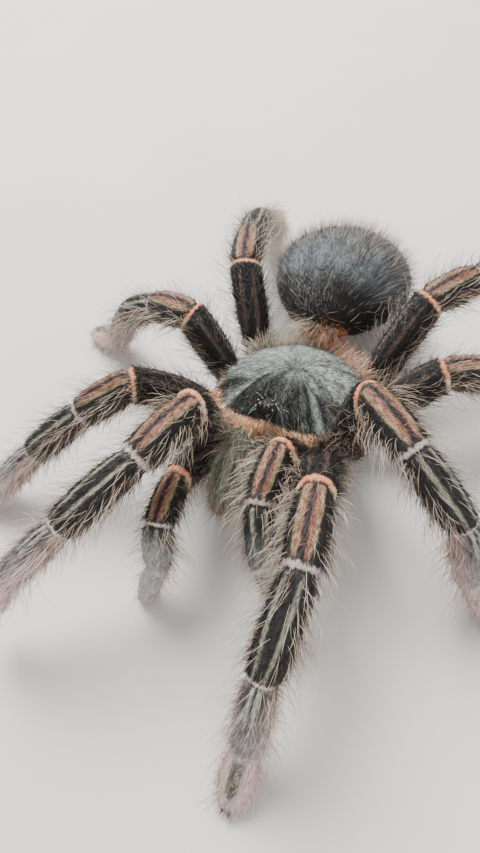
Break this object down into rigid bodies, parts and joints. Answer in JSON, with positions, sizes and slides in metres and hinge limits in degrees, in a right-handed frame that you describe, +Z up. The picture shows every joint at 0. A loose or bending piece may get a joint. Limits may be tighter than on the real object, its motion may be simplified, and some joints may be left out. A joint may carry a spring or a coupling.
{
  "type": "tarantula",
  "caption": "Life-size still model of a large hairy tarantula standing on a level surface, a front leg lifted, with striped legs and a rounded velvety abdomen.",
  "frame": {"origin": "on the floor, under the middle of the model's outline", "axes": "+Z up, -Y the way the head faces, +X the animal's left"},
  "size_m": [0.1448, 0.16, 0.0397],
  "materials": {
    "limb": "dense black-brown hair with cream and salmon stripes and long pale bristles",
    "carapace": "short flat charcoal hair with a grey-green sheen, salmon fringe",
    "abdomen": "slate-grey velvet with long tan hairs",
    "underside": "short dark brown hair",
    "chelicera": "short dark green-grey hair",
    "fang": "smooth glossy black-brown chitin",
    "eye": "dark mound with glossy amber-black lenses"
  },
  "bodies": {
    "root": {"abdomen": "abdomen", "carapace": "carapace", "eye_tubercle": "eye", "left_chelicera": "chelicera", "left_coxae": "underside", "left_fang": "fang", "left_leg_1_femur": "limb", "left_leg_1_metatarsus": "limb", "left_leg_1_patella": "limb", "left_leg_1_tarsus": "limb", "left_leg_1_tibia": "limb", "left_leg_2_femur": "limb", "left_leg_2_metatarsus": "limb", "left_leg_2_patella": "limb", "left_leg_2_tarsus": "limb", "left_leg_2_tibia": "limb", "left_leg_3_femur": "limb", "left_leg_3_metatarsus": "limb", "left_leg_3_patella": "limb", "left_leg_3_tarsus": "limb", "left_leg_3_tibia": "limb", "left_leg_4_femur": "limb", "left_leg_4_metatarsus": "limb", "left_leg_4_patella": "limb", "left_leg_4_tarsus": "limb", "left_leg_4_tibia": "limb", "left_palp_femur": "limb", "left_palp_patella": "limb", "left_palp_tarsus": "limb", "left_palp_tibia": "limb", "left_spinneret": "abdomen", "right_chelicera": "chelicera", "right_coxae": "underside", "right_fang": "fang", "right_leg_1_femur": "limb", "right_leg_1_metatarsus": "limb", "right_leg_1_patella": "limb", "right_leg_1_tarsus": "limb", "right_leg_1_tibia": "limb", "right_leg_2_femur": "limb", "right_leg_2_metatarsus": "limb", "right_leg_2_patella": "limb", "right_leg_2_tarsus": "limb", "right_leg_2_tibia": "limb", "right_leg_3_femur": "limb", "right_leg_3_metatarsus": "limb", "right_leg_3_patella": "limb", "right_leg_3_tarsus": "limb", "right_leg_3_tibia": "limb", "right_leg_4_femur": "limb", "right_leg_4_metatarsus": "limb", "right_leg_4_patella": "limb", "right_leg_4_tarsus": "limb", "right_leg_4_tibia": "limb", "right_palp_femur": "limb", "right_palp_patella": "limb", "right_palp_tarsus": "limb", "right_palp_tibia": "limb", "right_spinneret": "abdomen", "sternum": "underside"}
  },
  "joints": []
}
